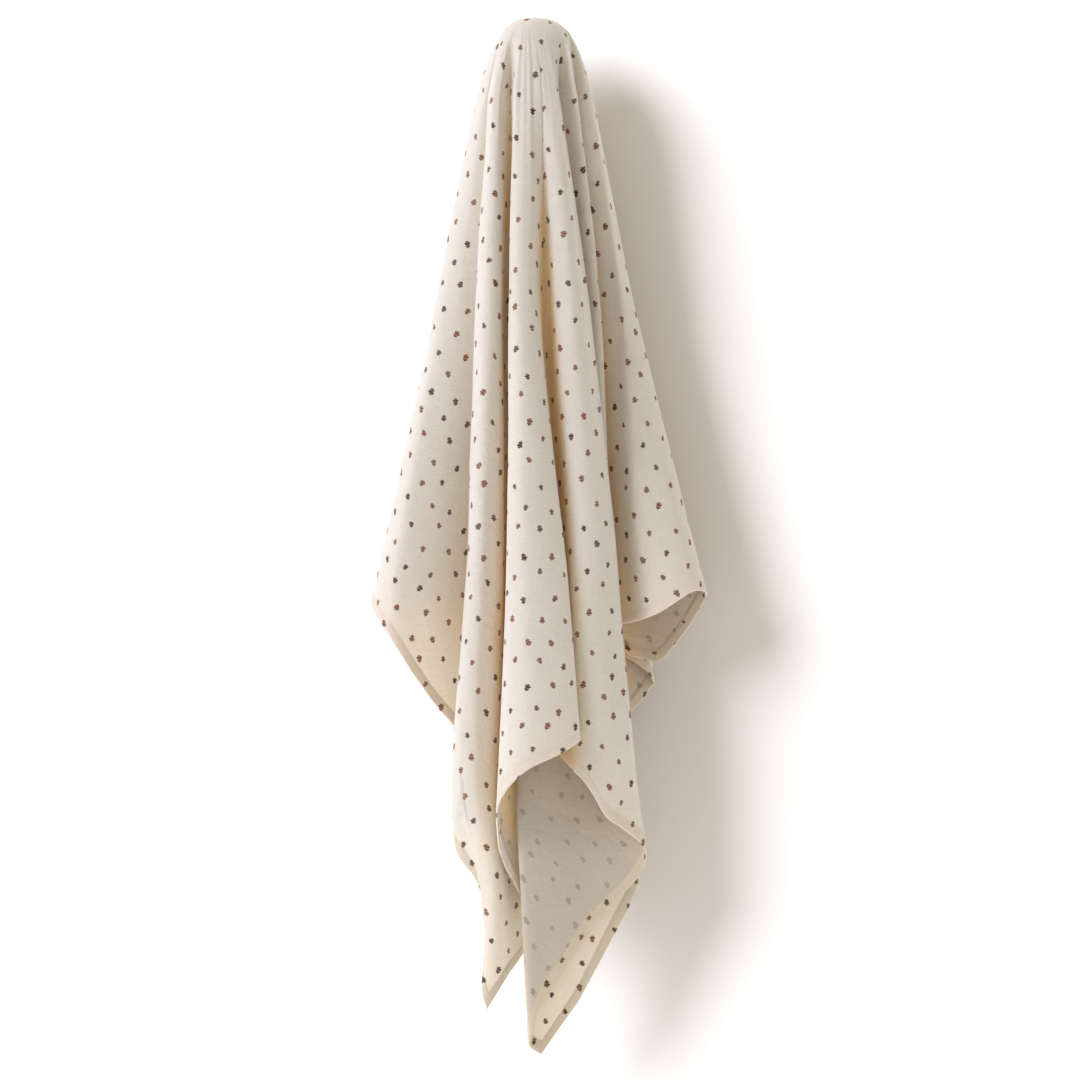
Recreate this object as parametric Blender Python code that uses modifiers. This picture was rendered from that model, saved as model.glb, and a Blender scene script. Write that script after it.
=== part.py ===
"""A square muslin swaddle blanket, hung by its middle.

The cloth is one thin sheet.  It lies as a smooth dome at the top and falls from there
in long folds to its four uneven hems and corners.  Each level of the sheet is a closed,
pleated ring, and FOLDS gives the path of every fold line down the cloth.

Metres, +Z up, +X to the right and +Y towards the back.  The origin is the point where
the blanket hangs, at the top of the dome.
"""
import math
from collections import namedtuple

import bpy
from mathutils import Vector

OBJECT_NAME = "swaddle_blanket"
CLOTH_NAME = "swaddle_cloth"

MM = 0.001
CLOTH_THICKNESS = 1.4 * MM

# The dome: half sizes of its round foot, where pleats begin and are complete, as fractions
# of its radius, and how evenly the fold lines start round it.  A ring's drop grows with
# the DOME_STEEPNESS power of its fraction.
DOME_HALF_WIDTH = 57.0
DOME_HALF_DEPTH = 54.0
DOME_CENTRE_SIDE = 4.5
PLEATS_BEGIN = 0.55
PLEATS_FULL = 1.0
EVEN_SHARE = 0.5
DOME_STEEPNESS = 3.0

# Rings over the dome, as fractions of its radius, and the levels below it.
DOME_RINGS = (0.12, 0.3, 0.47, 0.63, 0.78, 0.9)
LEVELS_BELOW_DOME = 12
STEPS_ON_A_FACE = 2
STEPS_ON_A_TURN = 1

# Control points closer than NEAREST count as that far apart, in millimetres, and a ring's
# curve spaces its knots by the KNOT_POWER of their distance.
NEAREST = 1e-4
KNOT_POWER = 0.5

# A fold's rounded end is tighter near the dome and full size from FULL_TURN_DROP down.
TIGHTEST_TURN = 0.42
FULL_TURN_DROP = 410.0

# Drops below the hang point at which every fold line is placed, in millimetres.
DOME_DROP = 80.0
STATIONS = (DOME_DROP, 280.0, 520.0, 740.0, 855.0, 980.0)

# One row for each fold line, in order round the blanket, seen from above: from the left
# wing along the front, round the right wing and back behind.  A face line is a plain
# point of the ring; a crest is a rounded fold that stands out; a tuck is a rounded fold
# that goes in.  turn: radius of the rounded end.  hem: drop at which the line meets the
# hem.  side and depth: X and Y of the line at each station.  All in millimetres.
FACE, CREST, TUCK = "face", "crest", "tuck"
Fold = namedtuple("Fold", "name kind turn hem side depth")
FOLDS = (
    Fold("left_wing_tip", FACE, 0, 564,
         (-55, -95, -146, -202, -223, -233), (-2, 0, 10, 16, 16, 16)),
    Fold("left_wing_edge", FACE, 0, 597,
         (-52, -88, -130, -154, -157, -157), (-16, -17, -25, -21, -21, -21)),
    Fold("left_wing_face", FACE, 0, 645,
         (-48, -73, -99, -114, -114, -114), (-25, -24, -17, -12, -12, -12)),
    Fold("left_wing_tuck", TUCK, 4, 727,
         (-43, -51, -48, -52, -52, -52), (-28, -22, 10, 6, 6, 6)),
    Fold("stem_left_side", FACE, 0, 803,
         (-42, -55, -63, -78, -69, -58), (-36, -35, -33, -28, -21, -19)),
    Fold("stem_left_face", FACE, 0, 849,
         (-38, -49, -57, -70, -48, -47), (-43, -52, -50, -42, -28, -25)),
    Fold("stem_face", FACE, 0, 937,
         (-34, -43, -50, -58, -45, -53), (-45, -57, -54, -47, -38, -35)),
    Fold("stem_corner", FACE, 0, 958,
         (-33, -37, -42, -48, -37, -46), (-45, -55, -50, -43, -41, -39)),
    Fold("stem_right_side", FACE, 0, 930,
         (-31, -32, -31, -37, -29, -25), (-42, -50, -43, -36, -33, -31)),
    Fold("stem_inner_wall", FACE, 0, 911,
         (-27, -28, -26, -26, -16, -9), (-37, -35, -22, -14, -9, -6)),
    Fold("stem_tuck", TUCK, 3.5, 879,
         (-22, -19, -8, 3, 10, 10), (-32, -23, -6, 4, 12, 12)),
    Fold("flap_inner_wall", FACE, 0, 847,
         (-19, -16, -15, -17, -13, -13), (-42, -36, -24, -22, -29, -29)),
    Fold("flap_left_wall", FACE, 0, 803,
         (-19, -21, -20, -30, -33, -33), (-47, -50, -48, -48, -47, -47)),
    Fold("flap_left_side", FACE, 0, 759,
         (-17, -22, -24, -32, -33, -33), (-51, -63, -71, -71, -71, -71)),
    Fold("flap_left_face", FACE, 0, 727,
         (-11, -14, -8, -8, -8, -8), (-54, -73, -88, -91, -91, -91)),
    Fold("flap_right_face", FACE, 0, 710,
         (-4, -2, 17, 27, 27, 27), (-55, -71, -84, -88, -88, -88)),
    Fold("flap_right_side", FACE, 0, 698,
         (2, 5, 31, 49, 52, 52), (-54, -59, -69, -72, -72, -72)),
    Fold("flap_tuck", TUCK, 3.3, 708,
         (9, 11, 19, 17, 17, 17), (-52, -37, -35, -45, -45, -45)),
    Fold("fall_left_side", FACE, 0, 728,
         (15, 22, 37, 39, 39, 39), (-52, -55, -60, -58, -55, -55)),
    Fold("fall_left_face", FACE, 0, 744,
         (18, 31, 50, 54, 54, 54), (-52, -60, -65, -61, -58, -58)),
    Fold("fall_middle_face", FACE, 0, 771,
         (21, 38, 60, 69, 71, 71), (-50, -61, -62, -57, -53, -53)),
    Fold("fall_right_face", FACE, 0, 786,
         (23, 47, 71, 86, 94, 94), (-48, -54, -54, -46, -39, -39)),
    Fold("fall_right_side", CREST, 3, 812,
         (25, 54, 80, 100, 115, 116), (-44, -43, -43, -30, -17, -17)),
    Fold("point_upper_face", FACE, 0, 879,
         (25, 48, 54, 50, 55, 55), (-34, -24, -27, -24, -25, -20)),
    Fold("point_middle_face", FACE, 0, 929,
         (25, 41, 35, 23, 25, 24), (-28, -16, -23, -30, -34, -24)),
    Fold("point_lower_face", FACE, 0, 962,
         (25, 37, 24, 5, 5, 3), (-24, -10, -19, -33, -39, -29)),
    Fold("long_point", TUCK, 4, 994,
         (24, 33, 14, -14, -11, -4), (-20, -5, -15, -34, -40, -26)),
    Fold("point_back_lower", FACE, 0, 1003,
         (28, 40, 31, 14, 14, 9), (-21, -5, -9, -27, -31, -18)),
    Fold("point_back_middle", FACE, 0, 951,
         (31, 46, 45, 37, 43, 45), (-23, -9, -9, -22, -23, -14)),
    Fold("point_back_upper", FACE, 0, 892,
         (35, 53, 59, 68, 75, 78), (-26, -15, -10, -15, -14, -11)),
    Fold("right_stem_crest", CREST, 3, 822,
         (42, 65, 76, 95, 106, 109), (-33, -24, -18, -11, -6, -6)),
    Fold("right_stem_tuck", TUCK, 3.5, 595,
         (37, 43, 48, 52, 52, 52), (-13, 8, 14, 16, 16, 16)),
    Fold("right_wing_side", FACE, 0, 586,
         (53, 77, 85, 107, 109, 109), (-18, -2, -6, -8, -8, -8)),
    Fold("right_wing_face", FACE, 0, 578,
         (57, 87, 107, 146, 146, 146), (-14, -10, -27, -30, -30, -30)),
    Fold("right_wing_front", FACE, 0, 554,
         (58, 94, 149, 215, 228, 228), (-6, -4, -20, -26, -26, -26)),
    Fold("right_wing_tip", FACE, 0, 561,
         (58, 99, 158, 215, 244, 262), (4, 9, 8, 6, 6, 6)),
    Fold("right_wing_back", FACE, 0, 608,
         (53, 85, 123, 159, 161, 161), (14, 23, 25, 27, 27, 27)),
    Fold("right_wing_crease", FACE, 0, 624,
         (47, 72, 98, 144, 146, 146), (15, 25, 30, 33, 33, 33)),
    Fold("back_tuck_a", TUCK, 3.5, 608,
         (33, 47, 64, 74, 74, 74), (9, 18, 24, 26, 26, 26)),
    Fold("back_crest_a", CREST, 5, 646,
         (48, 87, 107, 127, 130, 130), (26, 44, 51, 51, 51, 51)),
    Fold("back_tuck_b", TUCK, 4, 721,
         (23, 29, 35, 39, 39, 39), (15, 21, 22, 24, 24, 24)),
    Fold("back_corner_right", CREST, 7, 748,
         (38, 66, 81, 80, 80, 80), (39, 63, 74, 74, 74, 74)),
    Fold("back_tuck_c", TUCK, 4, 579,
         (13, 13, 14, 15, 15, 15), (17, 20, 18, 18, 18, 18)),
    Fold("back_crest_c", CREST, 7, 499,
         (21, 39, 47, 47, 47, 47), (48, 73, 81, 81, 81, 81)),
    Fold("back_tuck_d", TUCK, 4, 467,
         (2, 0, -2, -2, -2, -2), (18, 20, 17, 17, 17, 17)),
    Fold("back_crest_d", CREST, 7, 457,
         (3, 8, 12, 12, 12, 12), (53, 76, 82, 82, 82, 82)),
    Fold("back_tuck_e", TUCK, 4, 467,
         (-9, -13, -17, -17, -17, -17), (16, 18, 16, 16, 16, 16)),
    Fold("back_crest_e", CREST, 7, 494,
         (-15, -21, -23, -23, -23, -23), (51, 75, 82, 82, 82, 82)),
    Fold("back_tuck_f", TUCK, 4, 583,
         (-18, -24, -32, -34, -34, -34), (13, 16, 18, 20, 20, 20)),
    Fold("back_corner_left", CREST, 7, 748,
         (-31, -48, -58, -56, -56, -56), (42, 66, 77, 75, 75, 75)),
    Fold("back_tuck_g", TUCK, 4, 666,
         (-26, -36, -46, -50, -50, -50), (7, 13, 16, 20, 20, 20)),
    Fold("back_crest_g", CREST, 6, 613,
         (-44, -76, -95, -97, -97, -97), (29, 50, 63, 63, 63, 63)),
    Fold("back_tuck_h", TUCK, 4, 595,
         (-33, -50, -66, -70, -70, -70), (0, 12, 17, 19, 19, 19)),
    Fold("back_crest_h", CREST, 5, 585,
         (-52, -91, -124, -130, -130, -130), (13, 21, 33, 33, 33, 33)),
    Fold("back_tuck_i", TUCK, 3.5, 578,
         (-41, -65, -95, -101, -101, -101), (-3, 2, 10, 10, 10, 10)),
)


def smooth_step(low, high, value):
    """0 below low, 1 above high, and a soft change between them."""
    share = min(max((value - low) / (high - low), 0.0), 1.0)
    return share * share * (3.0 - 2.0 * share)


def along(values, drop):
    """A fold line's coordinate at a drop: a smooth curve through its stations."""
    gaps = [b - a for a, b in zip(STATIONS, STATIONS[1:])]
    slopes = [(b - a) / gap for a, b, gap in zip(values, values[1:], gaps)]
    tangents = [slopes[0]]
    for i in range(1, len(gaps)):
        weighted = slopes[i - 1] * gaps[i] + slopes[i] * gaps[i - 1]
        tangents.append(weighted / (gaps[i - 1] + gaps[i]))
    tangents.append(slopes[-1])
    if drop >= STATIONS[-1]:
        return values[-1] + tangents[-1] * (drop - STATIONS[-1])
    span = max(i for i in range(len(gaps)) if drop >= STATIONS[i] or i == 0)
    t = (drop - STATIONS[span]) / gaps[span]
    rise = t * t * (3.0 - 2.0 * t)
    leave = t * (1.0 - t) * (1.0 - t) * gaps[span]
    arrive = t * t * (t - 1.0) * gaps[span]
    return (values[span] * (1.0 - rise) + values[span + 1] * rise
            + tangents[span] * leave + tangents[span + 1] * arrive)


def rounded(before, tip, after, radius, kind):
    """The three points of a fold's rounded end, in order round the ring."""
    inward = (before - tip).normalized() + (after - tip).normalized()
    inward.normalize()
    centre = tip + inward * radius
    travel = Vector((inward.y, -inward.x))
    if kind == TUCK:
        travel.negate()
    return [centre - travel * radius, tip, centre + travel * radius]


def folded_ring(drop):
    """The control points of the pleated ring at a drop, from the shoulder down."""
    lines = [Vector((along(f.side, drop), along(f.depth, drop))) for f in FOLDS]
    full = smooth_step(DOME_DROP, FULL_TURN_DROP, drop)
    growth = TIGHTEST_TURN + (1.0 - TIGHTEST_TURN) * full
    controls = []
    for i, fold in enumerate(FOLDS):
        tip = lines[i]
        if fold.kind == FACE:
            controls.append(tip)
            continue
        before = lines[i - 1]
        after = lines[(i + 1) % len(lines)]
        controls += rounded(before, tip, after, fold.turn * growth, fold.kind)
    return controls


def bearings(controls):
    """Where the lines start round the dome: their own bearings, spread so none crowd."""
    first = math.atan2(controls[0].y, controls[0].x)
    furthest = first
    spread = []
    for i, point in enumerate(controls):
        bearing = math.atan2(point.y, point.x)
        while bearing < furthest - math.pi:
            bearing += 2.0 * math.pi
        furthest = max(furthest, bearing)
        even = first + 2.0 * math.pi * i / len(controls)
        spread.append(EVEN_SHARE * even + (1.0 - EVEN_SHARE) * furthest)
    return spread


SHOULDER_RING = folded_ring(DOME_DROP)
SHOULDER_BEARINGS = bearings(SHOULDER_RING)


def dome_ring(fraction):
    """A ring over the dome: a smooth oval that takes up the pleats as it falls."""
    weight = smooth_step(PLEATS_BEGIN, PLEATS_FULL, fraction)
    controls = []
    for folded, angle in zip(SHOULDER_RING, SHOULDER_BEARINGS):
        across = DOME_CENTRE_SIDE + DOME_HALF_WIDTH * math.cos(angle)
        oval = Vector((across, DOME_HALF_DEPTH * math.sin(angle)))
        controls.append(oval.lerp(folded, weight) * fraction)
    return controls


def ring_controls(drop):
    """The control points of the ring at any drop below the hang point."""
    if drop < DOME_DROP:
        return dome_ring((drop / DOME_DROP) ** (1.0 / DOME_STEEPNESS))
    return folded_ring(drop)


def between(low, high, knot_low, knot_high, knot):
    """The point at a knot value on the straight line between two points."""
    share = (knot - knot_low) / (knot_high - knot_low)
    return low.lerp(high, share)


def curve_point(p0, p1, p2, p3, share):
    """A point between p1 and p2 on the centripetal curve through four points."""
    t1 = max((p1 - p0).length, NEAREST) ** KNOT_POWER
    t2 = t1 + max((p2 - p1).length, NEAREST) ** KNOT_POWER
    t3 = t2 + max((p3 - p2).length, NEAREST) ** KNOT_POWER
    t = t1 + (t2 - t1) * share
    a1 = between(p0, p1, 0.0, t1, t)
    a2 = between(p1, p2, t1, t2, t)
    a3 = between(p2, p3, t2, t3, t)
    b1 = between(a1, a2, 0.0, t2, t)
    b2 = between(a2, a3, t1, t3, t)
    return between(b1, b2, t1, t2, t)


def column_places():
    """Where the columns stand round the ring: (control number, share of the span, hem)."""
    hems = []
    steps = []
    for fold in FOLDS:
        if fold.kind == FACE:
            hems.append(fold.hem)
            steps.append(STEPS_ON_A_FACE)
        else:
            hems += [fold.hem] * 3
            steps += [STEPS_ON_A_TURN] * 3
    places = []
    for number, count in enumerate(steps):
        for step in range(count):
            share = step / count
            after = hems[(number + 1) % len(hems)]
            places.append((number, share, hems[number] * (1.0 - share) + after * share))
    return places


def level_drops(hem):
    """The drops of one column's points, from the first ring of the dome to its hem."""
    drops = [DOME_DROP * fraction ** DOME_STEEPNESS for fraction in DOME_RINGS]
    for level in range(LEVELS_BELOW_DOME + 1):
        drops.append(DOME_DROP + (hem - DOME_DROP) * level / LEVELS_BELOW_DOME)
    return drops


def cloth_point(number, share, drop):
    """The point of the cloth at a place round the ring and a drop."""
    controls = ring_controls(drop)
    count = len(controls)
    around = [controls[(number + k) % count] for k in (-1, 0, 1, 2)]
    flat = curve_point(*around, share)
    return Vector((flat.x * MM, flat.y * MM, -drop * MM))


def cloth_mesh():
    """The open sheet: columns down the folds, closed by a fan at the hang point."""
    columns = []
    for number, share, hem in column_places():
        columns.append([cloth_point(number, share, drop) for drop in level_drops(hem)])
    points = [Vector((0.0, 0.0, 0.0))]
    for column in columns:
        points += column
    levels = len(columns[0])
    faces = []
    for i in range(len(columns)):
        here = 1 + i * levels
        beside = 1 + ((i + 1) % len(columns)) * levels
        faces.append((0, here, beside))
        for level in range(levels - 1):
            faces.append((here + level, here + level + 1, beside + level + 1, beside + level))
    mesh = bpy.data.meshes.new(CLOTH_NAME)
    mesh.from_pydata(points, [], faces)
    mesh.shade_smooth()
    return mesh


def muslin():
    """Undyed cream muslin: matt, with the soft sheen of loose cotton."""
    material = bpy.data.materials.new("cream_muslin")
    material.use_nodes = True
    shader = material.node_tree.nodes["Principled BSDF"]
    shader.inputs["Base Color"].default_value = (0.83, 0.76, 0.65, 1.0)
    shader.inputs["Roughness"].default_value = 0.9
    shader.inputs["Metallic"].default_value = 0.0
    return material


def make_cloth(collection):
    """The blanket: the open sheet, thickened evenly about its middle."""
    cloth = bpy.data.objects.new(CLOTH_NAME, cloth_mesh())
    cloth.data.materials.append(muslin())
    collection.objects.link(cloth)
    thickness = cloth.modifiers.new("cloth_thickness", "SOLIDIFY")
    thickness.thickness = CLOTH_THICKNESS
    thickness.offset = 0.0
    thickness.use_rim = True
    return cloth


def clear_scene():
    """Start from an empty scene."""
    for existing in list(bpy.data.objects):
        bpy.data.objects.remove(existing, do_unlink=True)


clear_scene()
parts = bpy.data.collections.new(OBJECT_NAME)
bpy.context.scene.collection.children.link(parts)
make_cloth(parts)
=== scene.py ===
import math
from collections import namedtuple

import bpy
import numpy as np
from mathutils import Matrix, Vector, noise


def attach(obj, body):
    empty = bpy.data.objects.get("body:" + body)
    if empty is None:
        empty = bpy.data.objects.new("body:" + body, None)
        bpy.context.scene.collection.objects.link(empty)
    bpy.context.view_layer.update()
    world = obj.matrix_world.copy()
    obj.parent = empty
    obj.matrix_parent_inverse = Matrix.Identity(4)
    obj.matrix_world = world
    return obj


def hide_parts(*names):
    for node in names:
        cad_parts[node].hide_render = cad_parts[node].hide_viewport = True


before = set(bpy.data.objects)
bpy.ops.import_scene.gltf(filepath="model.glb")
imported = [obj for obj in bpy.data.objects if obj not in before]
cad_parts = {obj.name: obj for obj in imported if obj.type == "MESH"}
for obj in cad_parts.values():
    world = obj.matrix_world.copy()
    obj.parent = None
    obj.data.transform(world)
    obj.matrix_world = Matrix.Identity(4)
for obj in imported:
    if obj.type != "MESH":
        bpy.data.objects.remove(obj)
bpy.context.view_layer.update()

# ------------------------------------------------------------
# The blanket: a 1.2 m square of soft, thin two-layer cotton, cut on the thread and turned
# up along all four sides in a narrow stitched hem.  It hangs by its middle, as a smooth
# dome with long folds below it, which only the cloth's own weight holds in place.
# ------------------------------------------------------------

# Sizes are in millimetres as far as the mesh.  The dome is an oval in plan, and its pleats
# come in over a share of the way out.  A crest or tuck is tightest where it leaves the
# dome, and has its full turn from FULL_TURN_DROP down.
MM = 0.001
DOME_DROP = 80.0
DOME_POWER = 3
DOME_HALF_WIDTH = 57.0
DOME_HALF_DEPTH = 54.0
DOME_CENTRE_SIDE = 4.5
PLEATS_FROM_TO = (0.55, 1.0)
EVEN_SHARE = 0.5
TIGHTEST_TURN = 0.42
FULL_TURN_DROP = 410.0
STATIONS = np.array([DOME_DROP, 280.0, 520.0, 740.0, 855.0, 980.0])

# One row for each fold line, in order round the blanket, seen from above: from the left
# wing along the front, round the right wing and back behind.  turn: how widely a crest or
# a tuck turns, to each side.  hem: the drop at which the line meets the hem.  side and
# depth: its X and Y at each station.
FACE, CREST, TUCK = "face", "crest", "tuck"
Fold = namedtuple("Fold", "name kind turn hem side depth")
FOLDS = (
    Fold("left_wing_tip", FACE, 0, 564,
         (-55, -95, -146, -202, -223, -233), (-2, 0, 10, 16, 16, 16)),
    Fold("left_wing_edge", FACE, 0, 597,
         (-52, -88, -130, -154, -157, -157), (-16, -17, -25, -21, -21, -21)),
    Fold("left_wing_face", FACE, 0, 645,
         (-48, -73, -99, -114, -114, -114), (-25, -24, -17, -12, -12, -12)),
    Fold("left_wing_tuck", TUCK, 4, 727,
         (-43, -51, -48, -52, -52, -52), (-28, -22, 10, 6, 6, 6)),
    Fold("stem_left_side", FACE, 0, 803,
         (-42, -55, -63, -78, -69, -58), (-36, -35, -33, -28, -21, -19)),
    Fold("stem_left_face", FACE, 0, 849,
         (-38, -49, -57, -70, -48, -47), (-43, -52, -50, -42, -28, -25)),
    Fold("stem_face", FACE, 0, 937,
         (-34, -43, -50, -58, -45, -53), (-45, -57, -54, -47, -38, -35)),
    Fold("stem_corner", FACE, 0, 958,
         (-33, -37, -42, -48, -37, -46), (-45, -55, -50, -43, -41, -39)),
    Fold("stem_right_side", FACE, 0, 930,
         (-31, -32, -31, -37, -29, -25), (-42, -50, -43, -36, -33, -31)),
    Fold("stem_inner_wall", FACE, 0, 911,
         (-27, -28, -26, -26, -16, -9), (-37, -35, -22, -14, -9, -6)),
    Fold("stem_tuck", TUCK, 3.5, 879,
         (-22, -19, -8, 3, 10, 10), (-32, -23, -6, 4, 12, 12)),
    Fold("flap_inner_wall", FACE, 0, 847,
         (-19, -16, -15, -17, -13, -13), (-42, -36, -24, -22, -29, -29)),
    Fold("flap_left_wall", FACE, 0, 803,
         (-19, -21, -20, -30, -33, -33), (-47, -50, -48, -48, -47, -47)),
    Fold("flap_left_side", FACE, 0, 759,
         (-17, -22, -24, -32, -33, -33), (-51, -63, -71, -71, -71, -71)),
    Fold("flap_left_face", FACE, 0, 727,
         (-11, -14, -8, -8, -8, -8), (-54, -73, -88, -91, -91, -91)),
    Fold("flap_right_face", FACE, 0, 710,
         (-4, -2, 17, 27, 27, 27), (-55, -71, -84, -88, -88, -88)),
    Fold("flap_right_side", FACE, 0, 698,
         (2, 5, 31, 49, 52, 52), (-54, -59, -69, -72, -72, -72)),
    Fold("flap_tuck", TUCK, 3.3, 708,
         (9, 11, 19, 17, 17, 17), (-52, -37, -35, -45, -45, -45)),
    Fold("fall_left_side", FACE, 0, 728,
         (15, 22, 37, 39, 39, 39), (-52, -55, -60, -58, -55, -55)),
    Fold("fall_left_face", FACE, 0, 744,
         (18, 31, 50, 54, 54, 54), (-52, -60, -65, -61, -58, -58)),
    Fold("fall_middle_face", FACE, 0, 771,
         (21, 38, 60, 69, 71, 71), (-50, -61, -62, -57, -53, -53)),
    Fold("fall_right_face", FACE, 0, 786,
         (23, 47, 71, 86, 94, 94), (-48, -54, -54, -46, -39, -39)),
    Fold("fall_right_side", CREST, 3, 812,
         (25, 54, 80, 100, 115, 116), (-44, -43, -43, -30, -17, -17)),
    Fold("point_upper_face", FACE, 0, 879,
         (25, 48, 54, 50, 55, 55), (-34, -24, -27, -24, -25, -20)),
    Fold("point_middle_face", FACE, 0, 929,
         (25, 41, 35, 23, 25, 24), (-28, -16, -23, -30, -34, -24)),
    Fold("point_lower_face", FACE, 0, 962,
         (25, 37, 24, 5, 5, 3), (-24, -10, -19, -33, -39, -29)),
    Fold("long_point", TUCK, 4, 994,
         (24, 33, 14, -14, -11, -4), (-20, -5, -15, -34, -40, -26)),
    Fold("point_back_lower", FACE, 0, 1003,
         (28, 40, 31, 14, 14, 9), (-21, -5, -9, -27, -31, -18)),
    Fold("point_back_middle", FACE, 0, 951,
         (31, 46, 45, 37, 43, 45), (-23, -9, -9, -22, -23, -14)),
    Fold("point_back_upper", FACE, 0, 892,
         (35, 53, 59, 68, 75, 78), (-26, -15, -10, -15, -14, -11)),
    Fold("right_stem_crest", CREST, 3, 822,
         (42, 65, 76, 95, 106, 109), (-33, -24, -18, -11, -6, -6)),
    Fold("right_stem_tuck", TUCK, 3.5, 595,
         (37, 43, 48, 52, 52, 52), (-13, 8, 14, 16, 16, 16)),
    Fold("right_wing_side", FACE, 0, 586,
         (53, 77, 85, 107, 109, 109), (-18, -2, -6, -8, -8, -8)),
    Fold("right_wing_face", FACE, 0, 578,
         (57, 87, 107, 146, 146, 146), (-14, -10, -27, -30, -30, -30)),
    Fold("right_wing_front", FACE, 0, 554,
         (58, 94, 149, 215, 228, 228), (-6, -4, -20, -26, -26, -26)),
    Fold("right_wing_tip", FACE, 0, 561,
         (58, 99, 158, 215, 244, 262), (4, 9, 8, 6, 6, 6)),
    Fold("right_wing_back", FACE, 0, 608,
         (53, 85, 123, 159, 161, 161), (14, 23, 25, 27, 27, 27)),
    Fold("right_wing_crease", FACE, 0, 624,
         (47, 72, 98, 144, 146, 146), (15, 25, 30, 33, 33, 33)),
    Fold("back_tuck_a", TUCK, 3.5, 608,
         (33, 47, 64, 74, 74, 74), (9, 18, 24, 26, 26, 26)),
    Fold("back_crest_a", CREST, 5, 646,
         (48, 87, 107, 127, 130, 130), (26, 44, 51, 51, 51, 51)),
    Fold("back_tuck_b", TUCK, 4, 721,
         (23, 29, 35, 39, 39, 39), (15, 21, 22, 24, 24, 24)),
    Fold("back_corner_right", CREST, 7, 748,
         (38, 66, 81, 80, 80, 80), (39, 63, 74, 74, 74, 74)),
    Fold("back_tuck_c", TUCK, 4, 579,
         (13, 13, 14, 15, 15, 15), (17, 20, 18, 18, 18, 18)),
    Fold("back_crest_c", CREST, 7, 499,
         (21, 39, 47, 47, 47, 47), (48, 73, 81, 81, 81, 81)),
    Fold("back_tuck_d", TUCK, 4, 467,
         (2, 0, -2, -2, -2, -2), (18, 20, 17, 17, 17, 17)),
    Fold("back_crest_d", CREST, 7, 457,
         (3, 8, 12, 12, 12, 12), (53, 76, 82, 82, 82, 82)),
    Fold("back_tuck_e", TUCK, 4, 467,
         (-9, -13, -17, -17, -17, -17), (16, 18, 16, 16, 16, 16)),
    Fold("back_crest_e", CREST, 7, 494,
         (-15, -21, -23, -23, -23, -23), (51, 75, 82, 82, 82, 82)),
    Fold("back_tuck_f", TUCK, 4, 583,
         (-18, -24, -32, -34, -34, -34), (13, 16, 18, 20, 20, 20)),
    Fold("back_corner_left", CREST, 7, 748,
         (-31, -48, -58, -56, -56, -56), (42, 66, 77, 75, 75, 75)),
    Fold("back_tuck_g", TUCK, 4, 666,
         (-26, -36, -46, -50, -50, -50), (7, 13, 16, 20, 20, 20)),
    Fold("back_crest_g", CREST, 6, 613,
         (-44, -76, -95, -97, -97, -97), (29, 50, 63, 63, 63, 63)),
    Fold("back_tuck_h", TUCK, 4, 595,
         (-33, -50, -66, -70, -70, -70), (0, 12, 17, 19, 19, 19)),
    Fold("back_crest_h", CREST, 5, 585,
         (-52, -91, -124, -130, -130, -130), (13, 21, 33, 33, 33, 33)),
    Fold("back_tuck_i", TUCK, 3.5, 578,
         (-41, -65, -95, -101, -101, -101), (-3, 2, 10, 10, 10, 10)),
)
FOLD_NAMES = [fold.name for fold in FOLDS]


def smooth_curve(x, values, tangents, at):
    """Values at places between the stations x, on a curve with the given tangents."""
    gaps = np.diff(x)
    span = np.clip(np.searchsorted(x, at, side="right") - 1, 0, len(gaps) - 1)
    t = np.minimum((at - x[span]) / gaps[span], 1.0)
    rise = t * t * (3.0 - 2.0 * t)
    leave = t * (1.0 - t) ** 2 * gaps[span]
    arrive = t * t * (t - 1.0) * gaps[span]
    curve = values[..., span] * (1.0 - rise) + values[..., span + 1] * rise
    return curve + (tangents[..., span] * leave + tangents[..., span + 1] * arrive)


def down_the_folds(values, drops):
    """Each fold line's coordinate at each drop: a smooth curve through its stations."""
    values = np.array(values, dtype=float)
    gaps = np.diff(STATIONS)
    slopes = np.diff(values, axis=1) / gaps
    tangents = np.empty_like(values)
    tangents[:, 0] = slopes[:, 0]
    tangents[:, -1] = slopes[:, -1]
    weighted = slopes[:, :-1] * gaps[:-1] + slopes[:, 1:] * gaps[1:]
    tangents[:, 1:-1] = weighted / (gaps[:-1] + gaps[1:])
    beyond = np.maximum(drops - STATIONS[-1], 0.0)
    return smooth_curve(STATIONS, values, tangents, drops) + tangents[:, -1:] * beyond


def soft_step(low, high, value):
    """0 below low, 1 above high, and a soft change between them."""
    share = np.clip((value - low) / (high - low), 0.0, 1.0)
    return share * share * (3.0 - 2.0 * share)


def unit(vectors):
    """The same directions, one long."""
    return vectors / np.maximum(np.linalg.norm(vectors, axis=-1, keepdims=True), 1e-9)


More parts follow.
